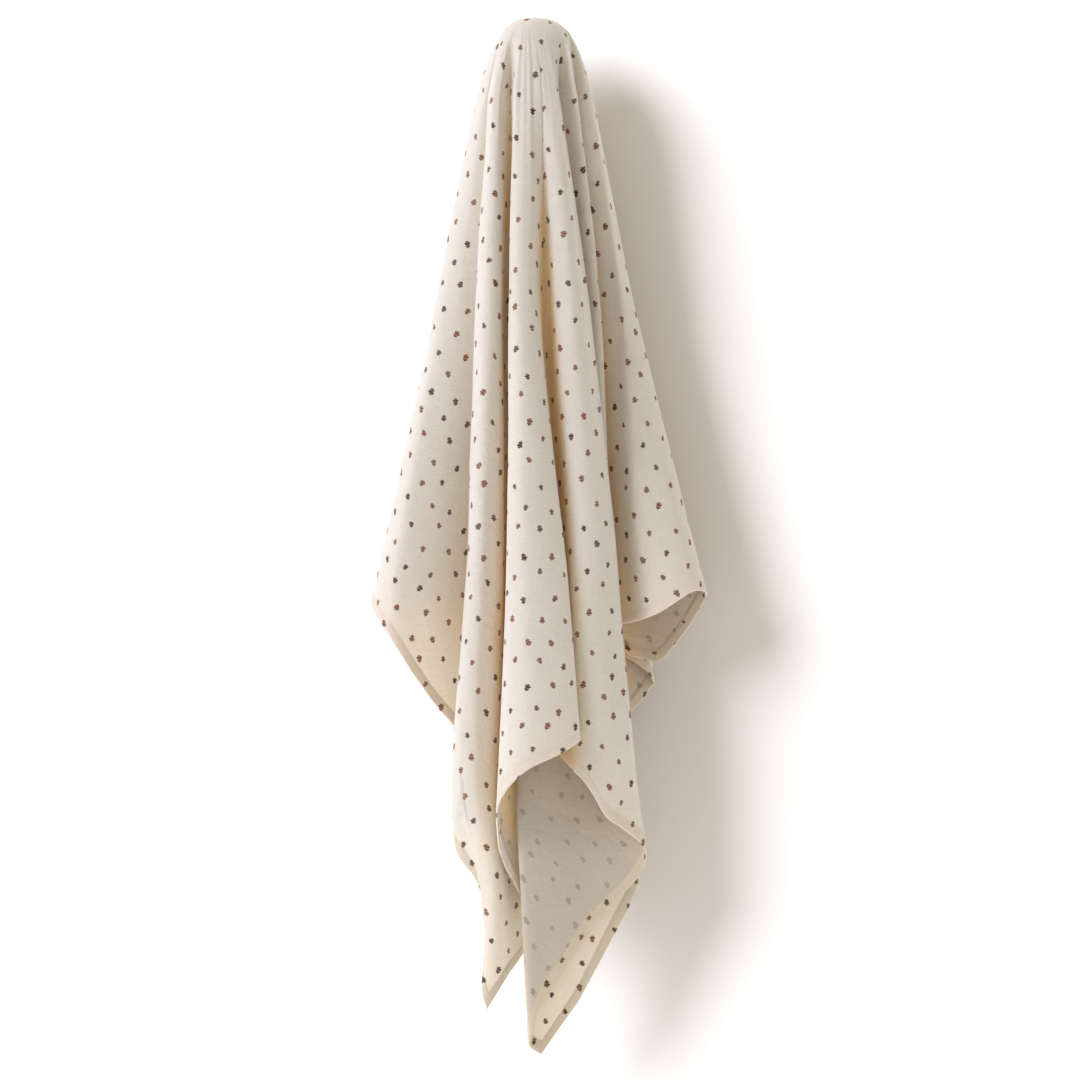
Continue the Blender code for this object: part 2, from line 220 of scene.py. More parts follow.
def folded_rings(drops):
    """The control points of the pleated ring at each drop: (drop, control, X and Y)."""
    side = down_the_folds([fold.side for fold in FOLDS], drops)
    depth = down_the_folds([fold.depth for fold in FOLDS], drops)
    tips = np.stack([side, depth], axis=-1).transpose(1, 0, 2)
    inward = unit(np.roll(tips, 1, axis=1) - tips) + unit(np.roll(tips, -1, axis=1) - tips)
    inward = unit(inward)
    grown = soft_step(DOME_DROP, FULL_TURN_DROP, drops)
    growth = (TIGHTEST_TURN + (1.0 - TIGHTEST_TURN) * grown)[:, None]
    controls = []
    for i, fold in enumerate(FOLDS):
        tip = tips[:, i]
        if fold.kind == FACE:
            controls.append(tip)
            continue
        way = -1.0 if fold.kind == TUCK else 1.0
        travel = way * np.stack([inward[:, i, 1], -inward[:, i, 0]], axis=-1)
        centre = tip + inward[:, i] * fold.turn * growth
        reach = travel * fold.turn * growth
        controls += [centre - reach, tip, centre + reach]
    return np.stack(controls, axis=1)


def dome_drops(fractions):
    """How far the dome has dropped at each share of the way out."""
    return DOME_DROP * fractions ** DOME_POWER


def dome_rings(fractions):
    """Rings over the dome: a smooth oval that takes up the pleats as it falls."""
    shoulder = folded_rings(np.array([DOME_DROP]))[0]
    bearings = np.unwrap(np.arctan2(shoulder[:, 1], shoulder[:, 0]))
    bearings = np.maximum.accumulate(bearings)
    even = bearings[0] + 2.0 * math.pi * np.arange(len(shoulder)) / len(shoulder)
    bearings = EVEN_SHARE * even + (1.0 - EVEN_SHARE) * bearings
    across = DOME_CENTRE_SIDE + DOME_HALF_WIDTH * np.cos(bearings)
    oval = np.stack([across, DOME_HALF_DEPTH * np.sin(bearings)], axis=-1)
    weight = soft_step(*PLEATS_FROM_TO, fractions)[:, None, None]
    return (oval + (shoulder - oval) * weight) * fractions[:, None, None]


# The sheet's columns follow the fold lines, and stand closer where the front shows them.
# Its rows run down the dome, then the long folds, and last along the hem: HEM_ROWS says how
# far each of those is from the edge.  Rings are worked out at many levels and taken
# between them.  The SLANT values even the hem's width where it crosses the folds askew.
HALF_THICKNESS = 0.35
DOME_LEVELS = 60
FIRST_DOME_LEVEL = 0.02
FINEST_DROP = 2.0
LONGEST_DROP = 1014.0
FRONT_COLUMN = 3.3
BACK_COLUMN = 6.4
BACK_FOLDS = ("back_", "right_wing_back", "right_wing_crease", "point_back")
COLUMN_SPACING_DROP = 470.0
POINTS_A_SPAN = 9
DOME_ROWS = 16
FIRST_DOME_ROW = 0.09
LONG_ROWS = 70
HEM_WIDTH = 9.0
HEM_ROWS = (12.0, 9.7, HEM_WIDTH, 8.2, 6.0, 3.0, 1.0, 0.0)
SLANT_DROP = 6.0
SLANT_COLUMNS = 3
SLANT_LEAST = 0.45
CLOTH_CORNERS = ("stem_corner", "point_back_lower", "back_corner_right", "back_corner_left")


def levels_table():
    """Rings at many drops, close enough to take any drop's ring from its neighbours."""
    fractions = np.linspace(FIRST_DOME_LEVEL, 1.0, DOME_LEVELS)
    below = np.arange(DOME_DROP + FINEST_DROP, LONGEST_DROP, FINEST_DROP)
    drops = np.concatenate([dome_drops(fractions), below])
    return drops, np.concatenate([dome_rings(fractions), folded_rings(below)])


LEVEL_DROPS, LEVEL_RINGS = levels_table()


def ring_curve(p0, p1, p2, p3, share):
    """Points between p1 and p2 on the centripetal curve through four points."""
    def knot(a, b):
        return np.sqrt(np.maximum(np.linalg.norm(b - a, axis=-1, keepdims=True), 1e-4))

    t1 = knot(p0, p1)
    t2 = t1 + knot(p1, p2)
    t3 = t2 + knot(p2, p3)
    t = t1 + (t2 - t1) * share
    a1 = p0 + (p1 - p0) * (t / t1)
    a2 = p1 + (p2 - p1) * ((t - t1) / (t2 - t1))
    a3 = p2 + (p3 - p2) * ((t - t2) / (t3 - t2))
    b1 = a1 + (a2 - a1) * (t / t2)
    b2 = a2 + (a3 - a2) * ((t - t1) / (t3 - t1))
    return b1 + (b2 - b1) * ((t - t1) / (t2 - t1))


def ring_points(control, share, drops):
    """Cloth points (X, Y) for columns at given controls and shares, at their own drops."""
    count = LEVEL_RINGS.shape[1]
    level = np.clip(np.searchsorted(LEVEL_DROPS, drops) - 1, 0, len(LEVEL_DROPS) - 2)
    part = (drops - LEVEL_DROPS[level]) / (LEVEL_DROPS[level + 1] - LEVEL_DROPS[level])
    around = []
    for k in (-1, 0, 1, 2):
        which = (control + k) % count
        low = LEVEL_RINGS[level, which]
        high = LEVEL_RINGS[level + 1, which]
        around.append(low + (high - low) * part[..., None])
    return ring_curve(*around, share[..., None])


def even_curve(x, y, at):
    """A smooth curve through points that never swings past them."""
    gaps = np.diff(x)
    slopes = np.diff(y) / gaps
    tangents = np.zeros(len(x))
    tangents[0] = slopes[0]
    tangents[-1] = slopes[-1]
    for i in range(1, len(x) - 1):
        if slopes[i - 1] * slopes[i] > 0.0:
            w1 = 2.0 * gaps[i] + gaps[i - 1]
            w2 = gaps[i] + 2.0 * gaps[i - 1]
            tangents[i] = (w1 + w2) / (w1 / slopes[i - 1] + w2 / slopes[i])
    return smooth_curve(x, y, tangents, at)


def fold_controls():
    """The control number of each fold line's tip, and which fold each control is of."""
    tips = []
    owners = []
    for number, fold in enumerate(FOLDS):
        spread = 1 if fold.kind == FACE else 3
        tips.append(len(owners) + spread // 2)
        owners += [number] * spread
    return np.array(tips), np.array(owners)


TIP_CONTROLS, CONTROL_FOLDS = fold_controls()


def column_places():
    """Where the columns stand: control, share of the way to the next, and ring length."""
    count = len(CONTROL_FOLDS)
    fine = np.linspace(0.0, 1.0, POINTS_A_SPAN)
    controls = np.repeat(np.arange(count), len(fine))
    shares = np.tile(fine, count)
    drops = np.full(len(controls), COLUMN_SPACING_DROP)
    points = ring_points(controls, shares, drops).reshape(count, len(fine), 2)
    lengths = np.linalg.norm(np.diff(points, axis=1), axis=-1).sum(axis=1)
    starts = np.concatenate([[0.0], np.cumsum(lengths)])
    control, share, along = [], [], []
    for number in range(count):
        name = FOLD_NAMES[CONTROL_FOLDS[number]]
        spacing = BACK_COLUMN if name.startswith(BACK_FOLDS) else FRONT_COLUMN
        steps = max(1, round(lengths[number] / spacing))
        for step in range(steps):
            control.append(number)
            share.append(step / steps)
            along.append(starts[number] + lengths[number] * step / steps)
    return np.array(control), np.array(share), np.array(along), starts


def hem_line(along, starts):
    """Each column's drop at the hem: even curves from one corner of the cloth to the next."""
    total = starts[-1]
    places = starts[TIP_CONTROLS]
    hems = np.array([float(fold.hem) for fold in FOLDS])
    corners = sorted(FOLD_NAMES.index(name) for name in CLOTH_CORNERS)
    drops = np.empty(len(along))
    for first, last in zip(corners, corners[1:] + [corners[0] + len(FOLDS)]):
        rows = np.arange(first, last + 1)
        x = places[rows % len(FOLDS)] + total * (rows // len(FOLDS))
        inside = np.mod(along - x[0], total) + x[0]
        chosen = inside <= x[-1]
        drops[chosen] = even_curve(x, hems[rows % len(FOLDS)], inside[chosen])
    return drops


CONTROL, SHARE, ALONG, STARTS = column_places()
HEM_DROPS = hem_line(ALONG, STARTS)


def points_at(drops):
    """The middle surface's points for every column, one row of drops for each."""
    rows = drops.shape[1]
    flat = ring_points(np.repeat(CONTROL[:, None], rows, 1),
                       np.repeat(SHARE[:, None], rows, 1), drops)
    return np.concatenate([flat, -drops[..., None]], axis=-1)


def hem_slant(drops):
    """How far a column goes for one millimetre square to the hem, evened along it."""
    edge = points_at(drops[:, None])[:, 0]
    above = points_at(drops[:, None] - SLANT_DROP)[:, 0]
    ahead = unit(np.roll(edge, -2, axis=0) - np.roll(edge, 2, axis=0))
    down = unit(edge - above)
    square = np.linalg.norm(np.cross(ahead, down), axis=-1)
    beside = range(-SLANT_COLUMNS, SLANT_COLUMNS + 1)
    evened = sum(np.roll(square, k) for k in beside) / len(beside)
    return 1.0 / np.maximum(evened, SLANT_LEAST)


def sheet_drops():
    """The drop of every point of the sheet: dome rows, long rows, then the hem's own."""
    fractions = np.linspace(FIRST_DOME_ROW, 1.0, DOME_ROWS)
    dome = np.repeat(dome_drops(fractions)[None], len(HEM_DROPS), axis=0)
    hem = HEM_DROPS[:, None] - np.array(HEM_ROWS)[None] * hem_slant(HEM_DROPS)[:, None]
    steps = (np.arange(1, LONG_ROWS + 1) / (LONG_ROWS + 1))[None]
    long = DOME_DROP + (hem[:, :1] - DOME_DROP) * steps
    return np.concatenate([dome, long, hem], axis=1)


def outward(points):
    """The middle surface's outward directions."""
    ahead = np.roll(points, -1, axis=0) - np.roll(points, 1, axis=0)
    down = np.gradient(points, axis=1)
    return unit(np.cross(down, ahead))


# Soft dents and ridges that the photograph shows on the folds.  Each runs between two
# places on the sheet: from_fold and to_fold are how far round it is, as a fold line's
# name and millimetres past it; drops in millimetres; rise is out of the cloth.
Crease = namedtuple("Crease", "from_fold from_past from_drop to_fold to_past to_drop rise width")
CREASES = (
    Crease("stem_face", 0, 12, "stem_face", 2, 160, -0.7, 7),
    Crease("flap_left_side", 0, 12, "flap_left_side", 4, 150, 0.7, 6),
    Crease("flap_left_face", -8, 8, "flap_left_face", 0, 170, -0.9, 7),
    Crease("flap_left_face", 14, 8, "flap_left_face", 20, 210, -0.8, 7),
    Crease("flap_right_face", 4, 6, "flap_right_face", 0, 180, 0.7, 6),
    Crease("flap_right_side", -4, 8, "flap_right_side", -6, 150, -0.9, 7),
    Crease("fall_left_face", 0, 10, "fall_left_face", 4, 140, -0.7, 6),
    Crease("fall_right_face", -6, 14, "fall_right_face", -6, 170, 0.7, 6),
    Crease("flap_left_face", 2, 240, "flap_left_face", 14, 420, 0.6, 9),
    Crease("flap_right_face", -6, 360, "flap_right_face", 6, 540, -0.6, 8),
    Crease("flap_left_side", 4, 706, "flap_right_face", 10, 672, 0.8, 5),
    Crease("flap_left_face", 0, 692, "flap_right_face", 16, 660, -0.7, 4),
    Crease("flap_left_side", 10, 684, "flap_right_face", 4, 648, 0.7, 5),
    Crease("flap_left_face", 4, 664, "flap_right_side", 0, 630, 0.6, 6),
    Crease("flap_left_side", 8, 640, "flap_right_face", 0, 596, -0.6, 6),
    Crease("left_wing_edge", 0, 380, "left_wing_face", 24, 520, 0.7, 10),
    Crease("left_wing_tip", 30, 500, "left_wing_face", 6, 620, -0.7, 9),
    Crease("left_wing_edge", 14, 500, "left_wing_face", 20, 640, 0.6, 8),
    Crease("left_wing_face", -20, 420, "left_wing_face", 30, 500, -0.5, 7),
    Crease("stem_left_side", -6, 424, "stem_face", 6, 470, 0.8, 5),
    Crease("stem_left_side", 0, 560, "stem_face", 4, 520, 0.6, 6),
    Crease("stem_left_side", 4, 640, "stem_corner", -2, 690, -0.6, 6),
    Crease("stem_left_side", 0, 790, "stem_face", 6, 740, 0.7, 6),
    Crease("fall_middle_face", 4, 400, "fall_middle_face", 8, 660, 0.9, 8),
    Crease("fall_right_face", 0, 460, "fall_right_face", -4, 700, -0.8, 7),
    Crease("fall_left_face", 6, 600, "fall_middle_face", 10, 720, 0.6, 6),
    Crease("fall_left_face", -6, 700, "fall_right_face", 0, 748, -0.7, 5),
    Crease("right_wing_face", -24, 330, "right_wing_front", -10, 420, 0.7, 9),
    Crease("right_wing_face", -20, 470, "right_wing_front", 0, 452, 0.6, 6),
    Crease("right_wing_side", 6, 524, "right_wing_front", -10, 500, -0.6, 5),
    Crease("right_wing_face", -14, 560, "right_wing_front", -6, 538, 0.6, 5),
    Crease("point_upper_face", -10, 848, "point_lower_face", 0, 938, -0.7, 4),
    Crease("point_upper_face", -4, 812, "point_lower_face", -4, 914, 0.6, 4),
    Crease("point_middle_face", 0, 790, "long_point", -6, 900, -0.6, 6),
    Crease("back_crest_g", -16, 200, "back_crest_g", 10, 430, 0.8, 10),
    Crease("back_corner_left", 12, 300, "back_corner_left", -10, 560, -0.8, 9),
    Crease("back_crest_d", -12, 160, "back_crest_d", 12, 340, 0.8, 9),
    Crease("back_corner_right", -14, 280, "back_corner_right", 12, 600, 0.8, 10),
    Crease("back_crest_a", 10, 240, "back_crest_a", -8, 460, -0.7, 8),
)


def with_creases(points, drops):
    """The sheet with its soft dents and ridges."""
    total = STARTS[-1]
    places = {name: STARTS[tip] for name, tip in zip(FOLD_NAMES, TIP_CONTROLS)}
    lift = np.zeros(drops.shape)
    for crease in CREASES:
        start = places[crease.from_fold] + crease.from_past
        end = places[crease.to_fold] + crease.to_past
        run = (end - start + total / 2.0) % total - total / 2.0
        fall = crease.to_drop - crease.from_drop
        x = (ALONG[:, None] - start + total / 2.0) % total - total / 2.0
        y = drops - crease.from_drop
        length = math.hypot(run, fall)
        t = (x * run + y * fall) / length ** 2
        away = (x * fall - y * run) / length
        fade = np.clip(1.0 - (2.0 * t - 1.0) ** 2, 0.0, 1.0)
        lift += crease.rise * fade * np.exp(-(away / crease.width) ** 2)
    return points + outward(points) * lift[..., None]


UNEVEN_SIZE = 70.0
UNEVEN_UPRIGHT = 0.6
UNEVEN_RISE = 1.5
UNEVEN_FROM_TO = (16.0, 160.0)
RIPPLE_WIDTH = 16.0
RIPPLE_LENGTH = 60.0
RIPPLE_APART = 9.0
RIPPLE_RISE = 0.45
PUCKER_SIZE = 9.0
PUCKER_RISE = 1.0
PUCKER_REACH = 14.0


def unevenness(points, drops):
    """Low waves and finer upright ripples below the dome, and the hem's small puckers."""
    lift = np.zeros(drops.shape)
    for column in range(drops.shape[0]):
        edge = points[column, -1]
        pucker = PUCKER_RISE * noise.noise(edge / PUCKER_SIZE)
        for row in range(drops.shape[1]):
            x, y, z = points[column, row]
            wave = noise.noise(Vector((x, y, z * UNEVEN_UPRIGHT)) / UNEVEN_SIZE)
            ripple = noise.noise(Vector((x / RIPPLE_WIDTH, y / RIPPLE_WIDTH,
                                         z / RIPPLE_LENGTH + RIPPLE_APART)))
            near = math.exp(-(drops[column, -1] - drops[column, row]) / PUCKER_REACH)
            lift[column, row] = UNEVEN_RISE * wave + RIPPLE_RISE * ripple + pucker * near
    return lift * soft_step(*UNEVEN_FROM_TO, drops)


def build_sheet():
    """The sheet's middle surface: points, outward directions and drops."""
    drops = sheet_drops()
    points = points_at(drops)
    points = with_creases(points, drops)
    points = points + outward(points) * unevenness(points, drops)[..., None]
    return points, outward(points), drops


POINTS, OUTWARD, DROPS = build_sheet()
COLUMNS, ROWS = DROPS.shape


# Each column of folds is printed and woven in its own place, measured in the cloth from
# the middle of its front: the seams between them lie at the bottoms of the tucks.
# thread_turn: how far the cloth's threads lean there, in degrees, because the cloth hangs
# square at the middle of each side and cornerwise at its corners.
Panel = namedtuple("Panel", "first_tuck middle thread_turn")
PANELS = (
    Panel("back_tuck_i", "left_wing_face", 8.0),
    Panel("left_wing_tuck", "stem_face", 14.0),
    Panel("stem_tuck", "flap_right_face", 3.0),
    Panel("flap_tuck", "fall_middle_face", -6.0),
    Panel("long_point", "point_back_upper", -14.0),
    Panel("right_stem_tuck", "right_wing_front", -3.0),
    Panel("back_tuck_a", "back_crest_a", 24.0),
    Panel("back_tuck_b", "back_corner_right", 40.0),
    Panel("back_tuck_c", "back_crest_c", 12.0),
    Panel("back_tuck_d", "back_crest_d", 2.0),
    Panel("back_tuck_e", "back_crest_e", -9.0),
    Panel("back_tuck_f", "back_corner_left", -40.0),
    Panel("back_tuck_g", "back_crest_g", -24.0),
    Panel("back_tuck_h", "back_crest_h", -10.0),
)
PANEL_STAGGER = 0.137
PRINT_LEVELS = 120
HEM_REACH = 60.0


def column_of(fold_name):
    """The column that stands on a fold line's tip."""
    tip = TIP_CONTROLS[FOLD_NAMES.index(fold_name)]
    return int(np.flatnonzero((CONTROL == tip) & (SHARE == 0.0))[0])


def cloth_places():
    """Each face's place on the flat cloth, in metres: (column, row, left or right, 2)."""
    levels = np.concatenate([dome_drops(np.linspace(0.0, 1.0, DOME_ROWS)),
                             np.linspace(DOME_DROP, LONGEST_DROP, PRINT_LEVELS)[1:]])
    rings = points_at(np.repeat(levels[None], COLUMNS, axis=0))
    plan = np.linalg.norm(np.roll(rings, -1, axis=0)[..., :2] - rings[..., :2], axis=-1)
    ahead = unit(np.roll(rings, -1, axis=0)[..., :2] - np.roll(rings, 1, axis=0)[..., :2])
    steps = np.diff(rings, axis=1)
    slides = (steps[..., :2] * ahead[:, 1:]).sum(axis=-1)
    falls = np.sqrt(np.maximum((steps ** 2).sum(axis=-1) - slides ** 2, 0.0))
    none = np.zeros((COLUMNS, 1))
    slide = np.concatenate([none, np.cumsum(slides, axis=1)], axis=1)
    fall = np.concatenate([none, np.cumsum(falls, axis=1)], axis=1)
    places = np.zeros((COLUMNS, ROWS, 2, 2))
    bounds = [column_of(panel.first_tuck) for panel in PANELS]
    for number, panel in enumerate(PANELS):
        first = bounds[number]
        last = bounds[(number + 1) % len(PANELS)]
        span = (last - first) % COLUMNS
        around = (first + np.arange(span + 1)) % COLUMNS
        middle = (column_of(panel.middle) - first) % COLUMNS
        start = np.zeros((1, len(levels)))
        across = np.concatenate([start, np.cumsum(plan[around[:-1]], axis=0)])
        across += slide[around[middle]] - across[middle]
        down = fall[around]
        lean = math.radians(panel.thread_turn)
        u = across * math.cos(lean) + down * math.sin(lean)
        v = down * math.cos(lean) - across * math.sin(lean)
        u = u * MM + PANEL_STAGGER * number
        v = v * MM + PANEL_STAGGER * number * number
        placed = np.stack([[np.interp(DROPS[column], levels, value)
                            for column, value in zip(around, values)]
                           for values in (u, v)], axis=-1)
        places[around[:-1], :, 0] = placed[:-1]
        places[around[:-1], :, 1] = placed[1:]
    return places


def hem_places():
    """Each point's place by the hem, in metres: how far along it, and how far from it."""
    edge = POINTS[:, -1]
    steps = np.linalg.norm(np.roll(edge, -1, axis=0) - edge, axis=-1)
    along = np.concatenate([[0.0], np.cumsum(steps)[:-1]])
    distance = (HEM_DROPS[:, None] - DROPS) / hem_slant(HEM_DROPS)[:, None]
    return np.repeat(along[:, None], ROWS, 1) * MM, np.minimum(distance, HEM_REACH) * MM


# How light tells round the blanket, painted into the cloth's colour.  glow: how much of its
# depth warms the cloth, painted warm light for the light that close walls of cream cloth pass
# each other.  hem_shade: how much darker the doubled hem is painted, painted shade for the
# light behind it that two layers hold back.  Depths are measured from LOOKS directions in
# levels LEVEL_STEP high.
Tone = namedtuple("Tone", "fold glow hem_shade")
TONES = (
    Tone("left_wing_edge", 0.15, 0.15),
    Tone("left_wing_face", 0.2, 0.75),
    Tone("left_wing_tuck", 0.2, 0.75),
    Tone("stem_left_face", 0.1, 0.5),
    Tone("stem_face", 0.2, 0.2),
    Tone("stem_corner", 0.25, 0.9),
    Tone("stem_right_side", 0.4, 0.9),
    Tone("stem_inner_wall", 0.9, 0.4),
    Tone("flap_left_side", 0.8, 0.15),
    Tone("flap_right_side", 1.0, 0.1),
    Tone("fall_left_side", 1.1, 0.1),
    Tone("fall_right_side", 0.5, 0.6),
    Tone("point_upper_face", 0.3, 0.85),
    Tone("point_lower_face", 0.2, 0.85),
    Tone("point_back_lower", 0.2, 0.8),
    Tone("point_back_upper", 0.2, 0.8),
    Tone("right_stem_tuck", 1.0, 0.3),
    Tone("right_wing_side", 0.35, 0.0),
    Tone("right_wing_front", 0.4, 0.0),
    Tone("right_wing_tip", 0.4, 0.8),
    Tone("right_wing_crease", 0.5, 0.9),
    Tone("back_tuck_b", 0.8, 0.6),
    Tone("back_tuck_i", 0.5, 0.5),
)
LEVEL_STEP = 8.0
LOOKS = 48


def round_the_cloth(field):
    """One field of the tones at every column."""
    columns = [column_of(tone.fold) for tone in TONES]
    values = [getattr(tone, field) for tone in TONES]
    return np.interp(np.arange(COLUMNS), columns, values, period=COLUMNS)


def fold_depths():
    """How deep in the folds each point lies: millimetres inside the bounds of its level."""
    turns = np.arange(LOOKS) * 2.0 * math.pi / LOOKS
    reach = POINTS[..., :2] @ np.stack([np.cos(turns), np.sin(turns)])
    level = (DROPS / LEVEL_STEP).astype(int)
    bounds = np.full((level.max() + 1, LOOKS), -1000.0)
    np.maximum.at(bounds, level.ravel(), reach.reshape(-1, LOOKS))
    return (bounds[level] - reach).min(axis=-1)


# The hem is turned up on the inner face, a layer thicker there.  It puffs a little between
# its rolled edge and its line of stitches, which dents it, and shows the print from
# TURNED_UP_SHIFT farther on in the cloth.
HEM_LAYER = 0.75
HEM_LAYER_FROM_TO = (HEM_WIDTH - 0.2, HEM_WIDTH + 0.4)
TURNED_UP_WIDTH = 0.9 * HEM_WIDTH
TURNED_UP_SHIFT = np.array([0.0121, 0.0093])
HEM_PUFF = 0.25
STITCH_FROM_HEM = 8.2
STITCH_DENT = 0.15
STITCH_DENT_WIDTH = 0.9
EDGE_ROLL = 0.7
LAST_COLUMN_STEP = 0.004


def cloth_layers():
    """The sheet's outer face, its inner face with the turned hem, and its rolled edge."""
    distance = hem_places()[1] / MM
    on_hem = 1.0 - soft_step(*HEM_LAYER_FROM_TO, distance)
    puff = HEM_PUFF * np.sin(math.pi * np.clip(distance / STITCH_FROM_HEM, 0.0, 1.0))
    off_line = (distance - STITCH_FROM_HEM) / STITCH_DENT_WIDTH
    dent = STITCH_DENT * np.exp(-off_line ** 2)
    outer = POINTS + OUTWARD * (HALF_THICKNESS + puff - dent)[..., None]
    inner = POINTS - OUTWARD * (HALF_THICKNESS + on_hem * HEM_LAYER + puff)[..., None]
    edge = (outer[:, -1] + inner[:, -1]) / 2.0
    edge = edge + unit(POINTS[:, -1] - POINTS[:, -2]) * EDGE_ROLL
    return outer, inner, edge


def set_tones(mesh):
    """Give the points their painted warm light in the folds and painted shade on the hem."""
    glow = fold_depths() * round_the_cloth("glow")[:, None] * MM
    shade = round_the_cloth("hem_shade")
    tops = [0.0, 0.0]
    for title, faces, edge in (("fold_glow", glow.ravel(), np.zeros(COLUMNS)),
                               ("hem_shade", np.repeat(shade, ROWS), shade)):
        attribute = mesh.attributes.new(title, "FLOAT", "POINT")
        attribute.data.foreach_set("value", np.concatenate([faces, faces, edge, tops]))


def cloth_mesh(name):
    """The closed thin shell: outer face, rolled hem edge and inner face."""
    outer, inner, edge = cloth_layers()
    tops = np.array([[0.0, 0.0, HALF_THICKNESS], [0.0, 0.0, -HALF_THICKNESS]])
    vertices = np.concatenate([outer.reshape(-1, 3), inner.reshape(-1, 3), edge, tops]) * MM
    here = np.arange(COLUMNS)
    beside = (here + 1) % COLUMNS
    grid = np.arange(COLUMNS * ROWS).reshape(COLUMNS, ROWS)
    inner_grid = grid + COLUMNS * ROWS
    edge_row = 2 * COLUMNS * ROWS + here
    top = 2 * COLUMNS * ROWS + COLUMNS
    places = cloth_places()
    along, distance = hem_places()
    whole_hem = along[-1] + LAST_COLUMN_STEP
    faces, cloth_uv, hem_uv, materials = [], [], [], []
    for i in range(COLUMNS):
        j = beside[i]
        far = along[j] + whole_hem * (j == 0)
        for row in range(ROWS - 1):
            square = ((i, row, 0), (i, row + 1, 0), (j, row + 1, 1), (j, row, 1))
            uv = [places[i, r, side] for _, r, side in square]
            by_hem = [((far if side else along[i])[r], distance[c, r]) for c, r, side in square]
            faces.append([grid[c, r] for c, r, _ in square])
            cloth_uv += uv
            hem_uv += by_hem
            materials.append(0)
            faces.append([inner_grid[c, r] for c, r, _ in reversed(square)])
            turned_up = distance[i, row + 1] < TURNED_UP_WIDTH * MM
            cloth_uv += [place + TURNED_UP_SHIFT * turned_up for place in uv[::-1]]
            hem_uv += by_hem[::-1]
            materials.append(0 if turned_up else 1)
        last = ROWS - 1
        ends = [places[i, last, 0], places[i, last, 0], places[i, last, 1], places[i, last, 1]]
        by_hem = [(along[i][last], 0.0)] * 2 + [(far[last], 0.0)] * 2
        faces.append([grid[i, last], edge_row[i], edge_row[j], grid[j, last]])
        faces.append([edge_row[i], inner_grid[i, last], inner_grid[j, last], edge_row[j]])
        cloth_uv += ends * 2
        hem_uv += by_hem * 2
        materials += [0, 0]
        cap = [places[i, 0, 0], places[i, 0, 1], (places[i, 0, 0] + places[i, 0, 1]) / 2.0]
        faces.append([grid[i, 0], grid[j, 0], top])
        faces.append([inner_grid[j, 0], inner_grid[i, 0], top + 1])
        cloth_uv += cap + [cap[1], cap[0], cap[2]]
        hem_uv += [(0.0, HEM_REACH * MM)] * 6
        materials += [0, 1]
    mesh = bpy.data.meshes.new(name)
    mesh.from_pydata(vertices.tolist(), [], faces)
    mesh.uv_layers.new(name="cloth").data.foreach_set("uv", np.array(cloth_uv).ravel())
    mesh.uv_layers.new(name="hem").data.foreach_set("uv", np.array(hem_uv).ravel())
    mesh.polygons.foreach_set("material_index", materials)
    set_tones(mesh)
    mesh.shade_smooth()
    mesh.update()
    return mesh


# The cloth's finish: undyed cream cotton in an open plain weave with slubs and a soft
# crinkle, printed on one face with small leaves in two earth colours.  The print is tossed
# in staggered rows, and shows faintly through on the other face.
CREAM = (0.91, 0.83, 0.715, 1.0)
CREAM_SHADE = (0.86, 0.77, 0.64, 1.0)
# The reverse face's creams are darker than the face's: partly the print showing through, and
# partly painted shade, because the inner face is seen mostly in the hollows of the folds.
SHADED_REVERSE_CREAM = (0.70, 0.63, 0.515, 1.0)
SHADED_REVERSE_MOTTLE = (0.66, 0.585, 0.465, 1.0)
# Painted shade: the doubled hem's colour where the light behind it is held back.
PAINTED_HEM_SHADE = (0.73, 0.635, 0.47, 1.0)
# Painted warm light: the colour the cloth takes deep in the folds, for light passed between close
# walls.
PAINTED_FOLD_WARMTH = (0.94, 0.67, 0.39, 1.0)
RUST = (0.38, 0.17, 0.095, 1.0)
RUST_DARK = (0.13, 0.05, 0.028, 1.0)
PLUM_BROWN = (0.17, 0.10, 0.06, 1.0)
PLUM_DARK = (0.05, 0.027, 0.017, 1.0)
RUST_THROUGH = (0.40, 0.32, 0.21, 1.0)
PLUM_THROUGH = (0.29, 0.245, 0.155, 1.0)
THROUGH_DARK = (0.24, 0.20, 0.14, 1.0)
PRINT_THROUGH = 0.55

# The print, in metres on the cloth: one leaf a cell, tossed and leaned, and by LEAF_OVER
# as often one way up as the other.  Its lobes and rim are darker, and its rib and the
# gaps between the lobes are paler, with thinner ink.
MOTIF_ACROSS = 0.0262
MOTIF_DOWN = 0.0212
MOTIF_TOSS = 0.0042
TOSS_SEED = 3.0
KIND_SEED = 8.0
LEAF_HALF_LENGTH = 0.0035
LEAF_HALF_WIDTH = 0.0025
LEAF_SIZES = (0.86, 1.14)
LEAF_LEAN = 1.25
LEAF_OVER = 7.0
LEAF_FULLNESS = 0.90
LOBES_ALONG = 8.6
LOBES_ASIDE = -2.4
LOBE_DEPTH = 0.20
RIB_EDGE = (0.04, 0.20)
VEIN_EDGE = (-0.5, 0.7)
VEIN_DARK = 0.95
RIM_WIDTH = 0.34
RIM_DARK = 0.35
INK_EDGE = (-0.04, 0.12)
INK_THIN = (-0.95, -0.1, 0.74, 1.0)
INK_WORN = (0.30, 0.55, 0.5, 1.0)
INK_STRENGTHS = (0.93, 1.0)
SOAK_SCALE = 1500.0
SOAK_DEPTH = 0.35

